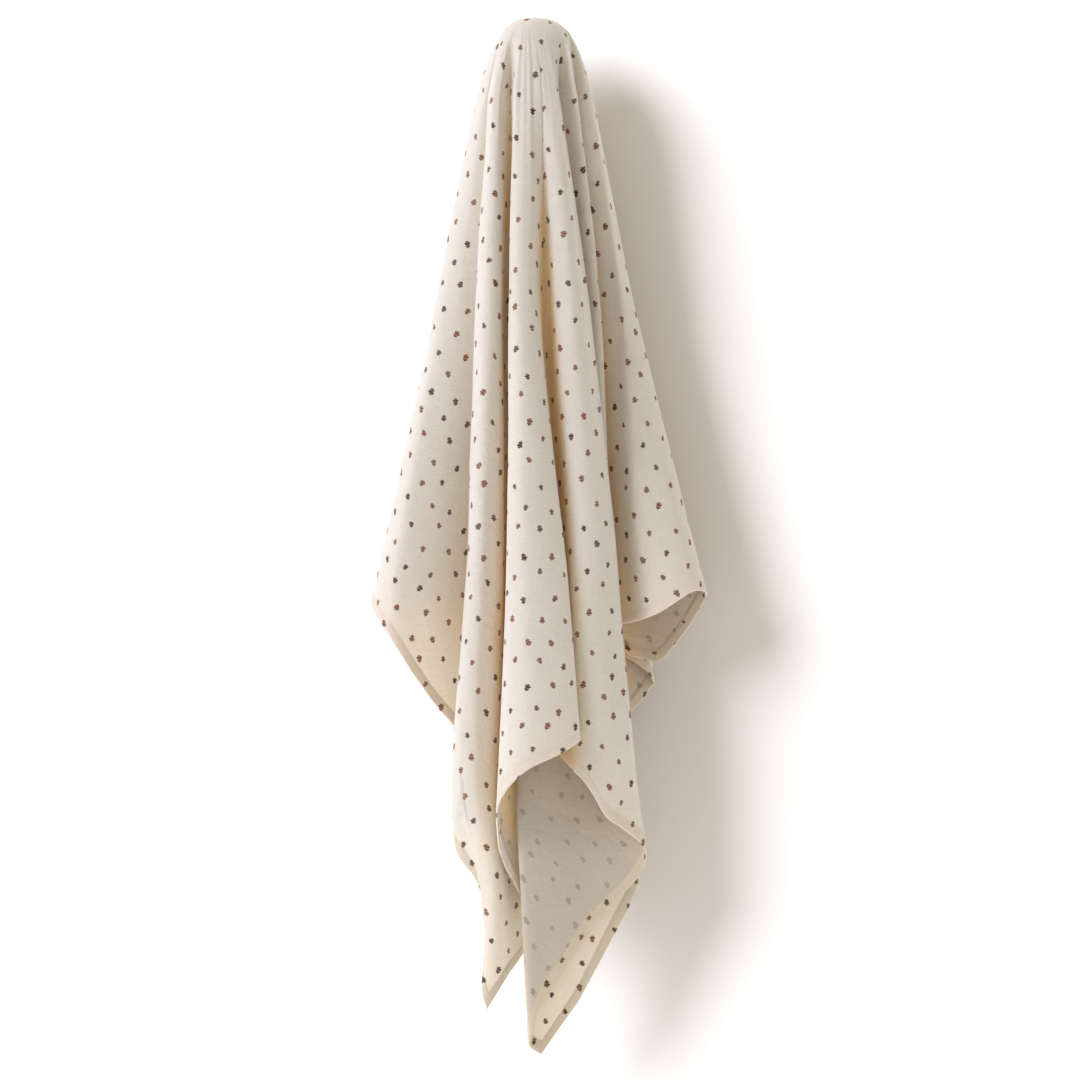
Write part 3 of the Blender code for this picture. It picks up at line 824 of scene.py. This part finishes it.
# The weave and its low relief.  Each rise is a share of RELIEF, and the crinkle comes and
# goes in patches.
THREAD = 0.00055
WEAVE_RISE = 0.05
SLUB_ACROSS = 0.0016
SLUB_ALONG = 0.012
WEFT_SLUB_RISE = 0.26
WARP_SLUB_RISE = 0.17
WARP_APART = 4.0
CRINKLE_ACROSS = 0.0062
CRINKLE_ALONG = 0.017
CRINKLE_RISE = 0.7
PATCH_SCALE = 11.0
PATCH_EDGE = (0.38, 0.66, 0.35, 1.0)
CRUMPLE_SIZE = 0.016
CRUMPLE_RISE = 1.2
STITCH_LENGTH = 0.0028
STITCH_ENDS = (0.30, 0.42)
STITCH_EDGE = (0.0001, 0.00045)
STITCH_RISE = 0.6
GROOVE_EDGE = (0.0003, 0.0014)
GROOVE_RISE = -0.16
RELIEF = 0.0016

# The ground's own unevenness, the painted shade of the doubled hem, the painted warm light
# deep in the folds, and the light that comes through thin cotton.
MOTTLE_SCALE = 7.0
MOTTLE_SHARES = (0.9, 0.35)
MOTTLE_FROM_TO = (0.35, 0.9)
DOUBLED_FROM_TO = (0.0082, 0.0093)
DEEP_FROM_TO = (0.004, 0.026)
MUSLIN_SURFACE = {
    "Roughness": 0.92, "Specular IOR Level": 0.05,
    "Sheen Weight": 0.03, "Sheen Roughness": 0.5,
    "Subsurface Weight": 1.0, "Subsurface Radius": (1.0, 0.95, 0.88),
    "Subsurface Scale": 0.0012,
}


class Wiring:
    """Short ways to add and join a material's nodes."""

    def __init__(self, name):
        self.material = bpy.data.materials.new(name)
        self.material.use_nodes = True
        self.tree = self.material.node_tree
        self.shader = self.tree.nodes["Principled BSDF"]

    def surface(self, values):
        for name, value in values.items():
            self.shader.inputs[name].default_value = value

    def join(self, source, target):
        if isinstance(source, bpy.types.NodeSocket):
            self.tree.links.new(source, target)
        else:
            target.default_value = source

    def node(self, kind, inputs=None, **settings):
        node = self.tree.nodes.new(kind)
        for key, value in settings.items():
            setattr(node, key, value)
        for key, value in (inputs or {}).items():
            self.join(value, node.inputs[key])
        return node

    def maths(self, operation, *values):
        inputs = dict(enumerate(values))
        return self.node("ShaderNodeMath", inputs, operation=operation).outputs[0]

    def plus(self, a, b):
        return self.maths("ADD", a, b)

    def minus(self, a, b):
        return self.maths("SUBTRACT", a, b)

    def times(self, a, b):
        return self.maths("MULTIPLY", a, b)

    def over(self, a, b):
        return self.maths("DIVIDE", a, b)

    def steps(self, value, low, high, start=0.0, end=1.0):
        inputs = {"Value": value, "From Min": low, "From Max": high, "To Min": start,
                  "To Max": end}
        node = self.node("ShaderNodeMapRange", inputs, interpolation_type="SMOOTHSTEP")
        return node.outputs["Result"]

    def blend(self, share, low, high):
        node = self.node("ShaderNodeMix", data_type="RGBA")
        self.join(share, node.inputs["Factor"])
        self.join(low, node.inputs[6])
        self.join(high, node.inputs[7])
        return node.outputs[2]

    def split(self, vector):
        node = self.node("ShaderNodeSeparateXYZ", {"Vector": vector})
        return node.outputs["X"], node.outputs["Y"], node.outputs["Z"]

    def point(self, x=0.0, y=0.0, z=0.0):
        return self.node("ShaderNodeCombineXYZ", {"X": x, "Y": y, "Z": z}).outputs["Vector"]

    def noise(self, vector, scale, detail, **more):
        inputs = {"Vector": vector, "Scale": scale, "Detail": detail, **more}
        return self.node("ShaderNodeTexNoise", inputs).outputs["Fac"]

    def chances(self, x, y, z):
        node = self.node("ShaderNodeTexWhiteNoise", {"Vector": self.point(x, y, z)},
                         noise_dimensions="3D")
        return self.split(node.outputs["Color"])

    def uv(self, name):
        return self.node("ShaderNodeUVMap", uv_map=name).outputs["UV"]


def printed_leaves(w, across, down):
    """The tossed print: how much ink is at each place, and which colour it is."""
    def from_leaf(place, pitch, toss):
        in_cell = w.times(w.minus(w.maths("FRACT", place), 0.5), pitch)
        return w.minus(in_cell, w.times(w.minus(toss, 0.5), 2.0 * MOTIF_TOSS))

    rows = w.over(down, MOTIF_DOWN)
    row = w.maths("FLOOR", rows)
    stagger = w.times(w.maths("MODULO", row, 2.0), 0.5)
    columns = w.plus(w.over(across, MOTIF_ACROSS), stagger)
    column = w.maths("FLOOR", columns)
    toss_x, toss_y, lean = w.chances(column, row, TOSS_SEED)
    kind, size, ragged = w.chances(column, row, KIND_SEED)
    local = w.point(from_leaf(columns, MOTIF_ACROSS, toss_x), from_leaf(rows, MOTIF_DOWN, toss_y))
    is_over = w.maths("GREATER_THAN", w.maths("FRACT", w.times(lean, LEAF_OVER)), 0.5)
    angle = w.plus(w.times(is_over, math.pi), w.times(w.minus(lean, 0.5), LEAF_LEAN))
    turned = w.node("ShaderNodeVectorRotate",
                    {"Vector": local, "Angle": w.plus(angle, math.pi / 2.0)},
                    rotation_type="Z_AXIS").outputs["Vector"]
    along, beside, _ = w.split(turned)
    scale = w.steps(size, 0.0, 1.0, *LEAF_SIZES)
    along = w.over(along, w.times(scale, LEAF_HALF_LENGTH))
    side = w.maths("ABSOLUTE", w.over(beside, w.times(scale, LEAF_HALF_WIDTH)))
    broad_end = w.maths("SQRT", w.maths("MAXIMUM", w.minus(1.0, along), 0.0))
    pointed_end = w.maths("MAXIMUM", w.plus(1.0, along), 0.0)
    body = w.times(broad_end, pointed_end)
    lobes = w.maths("SINE", w.plus(w.times(along, LOBES_ALONG), w.times(side, LOBES_ASIDE)))
    width = w.times(body, w.plus(LEAF_FULLNESS, w.times(lobes, LOBE_DEPTH)))
    inside = w.minus(width, side)
    soak = w.noise(w.point(across, down), SOAK_SCALE, 1.0)
    edge = w.times(w.minus(soak, 0.5), SOAK_DEPTH)
    ink = w.steps(w.plus(inside, edge), *INK_EDGE)
    ink = w.times(ink, w.maths("GREATER_THAN", body, 0.0))
    off_rib = w.steps(side, *RIB_EDGE)
    rim = w.steps(inside, 0.0, RIM_WIDTH, 1.0, 0.0)
    veined = w.times(off_rib, w.steps(lobes, *VEIN_EDGE))
    darker = w.maths("MAXIMUM", w.times(rim, RIM_DARK), w.times(veined, VEIN_DARK))
    ink = w.times(ink, w.steps(w.times(off_rib, lobes), *INK_THIN))
    ink = w.times(ink, w.steps(ragged, 0.0, 1.0, *INK_STRENGTHS))
    darker = w.times(darker, w.steps(soak, *INK_WORN))
    is_plum = w.maths("GREATER_THAN", kind, 0.5)
    return ink, is_plum, darker


def woven_relief(w, cloth, across, down, hem_along, hem_distance):
    """The cloth's low relief: threads, slubs, crinkle and the hem's stitches."""
    warp = w.maths("SINE", w.times(across, 2.0 * math.pi / THREAD))
    weft = w.maths("SINE", w.times(down, 2.0 * math.pi / THREAD))
    weave = w.times(w.times(warp, weft), WEAVE_RISE)
    weft_slub = w.noise(w.point(w.over(across, SLUB_ALONG), w.over(down, SLUB_ACROSS)),
                        1.0, 2.0)
    warp_slub = w.noise(w.point(w.over(across, SLUB_ACROSS), w.over(down, SLUB_ALONG),
                                WARP_APART), 1.0, 2.0)
    crinkle = w.noise(w.point(w.over(across, CRINKLE_ALONG), w.over(down, CRINKLE_ACROSS)),
                      1.0, 3.0, Roughness=0.5, Distortion=1.1)
    crumple = w.noise(cloth, 1.0 / CRUMPLE_SIZE, 2.0, Distortion=0.9)
    crinkled = w.steps(w.noise(cloth, PATCH_SCALE, 1.0), *PATCH_EDGE)
    low = w.plus(w.times(weft_slub, WEFT_SLUB_RISE), w.times(warp_slub, WARP_SLUB_RISE))
    low = w.plus(low, w.times(w.times(crinkle, crinkled), CRINKLE_RISE))
    low = w.plus(low, w.times(crumple, CRUMPLE_RISE))
    phase = w.maths("FRACT", w.over(hem_along, STITCH_LENGTH))
    thread = w.steps(w.maths("ABSOLUTE", w.minus(phase, 0.5)), *STITCH_ENDS, 1.0, 0.0)
    off_line = w.maths("ABSOLUTE", w.minus(hem_distance, STITCH_FROM_HEM * MM))
    line = w.steps(off_line, *STITCH_EDGE, 1.0, 0.0)
    stitches = w.times(w.times(thread, line), STITCH_RISE)
    groove = w.steps(off_line, *GROOVE_EDGE, GROOVE_RISE, 0.0)
    relief = w.plus(w.plus(low, weave), w.plus(stitches, groove))
    bump = w.node("ShaderNodeBump", {"Height": relief, "Strength": 1.0, "Distance": RELIEF})
    return bump.outputs["Normal"], w.times(w.plus(weft_slub, warp_slub), 0.5)


def muslin(name, base, base_shade, rusts, plums, print_share):
    """Printed muslin, in one face's colours."""
    w = Wiring(name)
    cloth = w.uv("cloth")
    across, down, _ = w.split(cloth)
    hem_along, hem_distance, _ = w.split(w.uv("hem"))
    ink, is_plum, darker = printed_leaves(w, across, down)
    normal, shade = woven_relief(w, cloth, across, down, hem_along, hem_distance)
    broad = w.noise(cloth, MOTTLE_SCALE, 2.0)
    mottle = w.plus(w.times(shade, MOTTLE_SHARES[0]), w.times(broad, MOTTLE_SHARES[1]))
    ground = w.blend(w.steps(mottle, *MOTTLE_FROM_TO), base_shade, base)
    # Painted shade on the doubled hem band, as dark as each column's hem_shade says.
    doubled = w.steps(hem_distance, *DOUBLED_FROM_TO, 1.0, 0.0)
    hem_shade = w.node("ShaderNodeAttribute", attribute_name="hem_shade").outputs["Fac"]
    ground = w.blend(w.times(doubled, hem_shade), ground, PAINTED_HEM_SHADE)
    # Painted warm light deep in the folds, by fold depth and each column's glow.
    glow = w.node("ShaderNodeAttribute", attribute_name="fold_glow").outputs["Fac"]
    ground = w.blend(w.steps(glow, *DEEP_FROM_TO), ground, PAINTED_FOLD_WARMTH)
    light = w.blend(is_plum, rusts[0], plums[0])
    dark = w.blend(is_plum, rusts[1], plums[1])
    printed = w.blend(w.times(ink, print_share), ground, w.blend(darker, light, dark))
    w.join(printed, w.shader.inputs["Base Color"])
    w.join(normal, w.shader.inputs["Normal"])
    w.surface(MUSLIN_SURFACE)
    return w.material


def add_object(name, data):
    """A new object in the scene, from its mesh, lamp or camera."""
    added = bpy.data.objects.new(name, data)
    bpy.context.scene.collection.objects.link(added)
    return added


blanket = add_object("printed_muslin_blanket", cloth_mesh("printed_muslin_blanket"))
blanket.data.materials.append(muslin("printed_muslin_face", CREAM, CREAM_SHADE,
                                     (RUST, RUST_DARK), (PLUM_BROWN, PLUM_DARK), 1.0))
# The reverse face, in creams darkened with painted shade.
blanket.data.materials.append(muslin("printed_muslin_reverse", SHADED_REVERSE_CREAM, SHADED_REVERSE_MOTTLE,
                                     (RUST_THROUGH, THROUGH_DARK),
                                     (PLUM_THROUGH, THROUGH_DARK), PRINT_THROUGH))
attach(blanket, "root")
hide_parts("swaddle_cloth")

# ------------------------------------------------------------
# The room: a plain white wall close behind the blanket, which takes its soft shadow, and a
# plain pale floor well below it.  The wall is seen from its front alone, so that the back
# of the blanket can be looked at too.
# ------------------------------------------------------------

WALL_DEPTH = 0.088
ROOM_HALF_WIDTH = 3.0
WALL_TOP = 1.6
FLOOR_DROP = 1.35
FLOOR_FRONT = 3.2
WALL_WHITE = (0.83, 0.785, 0.715, 1.0)
FLOOR_PALE = (0.86, 0.855, 0.845, 1.0)


def flat_panel(name, start, end, material):
    """A flat panel across the room, between two edges, each given by its Y and Z."""
    corners = [(side * ROOM_HALF_WIDTH, *edge)
               for side, edge in ((-1, start), (1, start), (1, end), (-1, end))]
    mesh = bpy.data.meshes.new(name)
    mesh.from_pydata(corners, [], [(0, 1, 2, 3)])
    mesh.materials.append(material)
    panel = add_object(name, mesh)
    return panel


def wall_paint():
    """Matt white paint on the wall's front; its back isn't seen."""
    w = Wiring("matt_white_wall")
    w.surface({"Base Color": WALL_WHITE, "Roughness": 1.0, "Specular IOR Level": 0.0})
    clear = w.node("ShaderNodeBsdfTransparent")
    facing = w.node("ShaderNodeNewGeometry").outputs["Backfacing"]
    mix = w.node("ShaderNodeMixShader", {0: facing})
    w.join(w.shader.outputs["BSDF"], mix.inputs[1])
    w.join(clear.outputs["BSDF"], mix.inputs[2])
    w.join(mix.outputs["Shader"], w.tree.nodes["Material Output"].inputs["Surface"])
    return w.material


def floor_paint():
    """A matt pale floor."""
    w = Wiring("matt_pale_floor")
    w.surface({"Base Color": FLOOR_PALE, "Roughness": 0.9})
    return w.material


room_panels = [
    flat_panel("wall", (WALL_DEPTH, -FLOOR_DROP), (WALL_DEPTH, WALL_TOP), wall_paint()),
    flat_panel("floor", (-FLOOR_FRONT, -FLOOR_DROP), (FLOOR_FRONT, -FLOOR_DROP), floor_paint()),
]

# ------------------------------------------------------------
# The light: a broad soft lamp to the left, in front of the blanket and well above it, for
# the cloth; a farther one for the wall and floor, which it leaves plain white round a soft
# shadow; and pale warm light from all round.
# ------------------------------------------------------------

LAMP_AIM = Vector((0.0, 0.0, -0.5))
KEY_PLACE = Vector((-4.8, -3.5, 3.2))
KEY_SIZE = 2.5
KEY_POWER = 190.0
KEY_COLOUR = (1.0, 1.01, 1.3)
ROOM_LAMP_PLACE = Vector((-7.8, -7.3, 4.3))
ROOM_LAMP_SIZE = 5.6
ROOM_LAMP_POWER = 1700.0
ROOM_LAMP_COLOUR = (1.0, 1.08, 1.27)
ROOM_COLOUR = (1.0, 0.93, 0.85, 1.0)
ROOM_STRENGTH = 0.545


def soft_lamp(name, place, size, power, colour, lit):
    """A round soft lamp that lights the given objects."""
    lamp = bpy.data.lights.new(name, "AREA")
    lamp.shape = "DISK"
    lamp.size = size
    lamp.energy = power
    lamp.color = colour
    lamp_object = add_object(name, lamp)
    lamp_object.location = place
    lamp_object.rotation_euler = (LAMP_AIM - place).to_track_quat("-Z", "Y").to_euler()
    receivers = bpy.data.collections.new(name + "_lights")
    lamp_object.light_linking.receiver_collection = receivers
    for thing in lit:
        receivers.objects.link(thing)


soft_lamp("soft_key", KEY_PLACE, KEY_SIZE, KEY_POWER, KEY_COLOUR, [blanket])
soft_lamp("room_lamp", ROOM_LAMP_PLACE, ROOM_LAMP_SIZE, ROOM_LAMP_POWER, ROOM_LAMP_COLOUR,
          room_panels)
room = bpy.data.worlds.new("room")
room.use_nodes = True
sky = room.node_tree.nodes["Background"]
sky.inputs["Color"].default_value = ROOM_COLOUR
sky.inputs["Strength"].default_value = ROOM_STRENGTH
bpy.context.scene.world = room
bpy.context.scene.view_settings.view_transform = "Standard"

# ------------------------------------------------------------
# The camera: straight on, far back with a long lens, so that the blanket's height nearly
# fills the square picture.
# ------------------------------------------------------------

VIEW_HEIGHT = 1.0476
VIEW_CENTRE = Vector((0.0068, 0.0, -0.5059))
CAMERA_DISTANCE = 6.0
CAMERA_REACH = 40.0
SENSOR = 36.0

eye = bpy.data.cameras.new("eye")
eye.sensor_width = SENSOR
eye.lens = SENSOR * CAMERA_DISTANCE / VIEW_HEIGHT
eye.clip_end = CAMERA_REACH
eye_object = add_object("eye", eye)
eye_object.location = VIEW_CENTRE - Vector((0.0, CAMERA_DISTANCE, 0.0))
eye_object.rotation_euler = (math.pi / 2.0, 0.0, 0.0)
bpy.context.scene.camera = eye_object
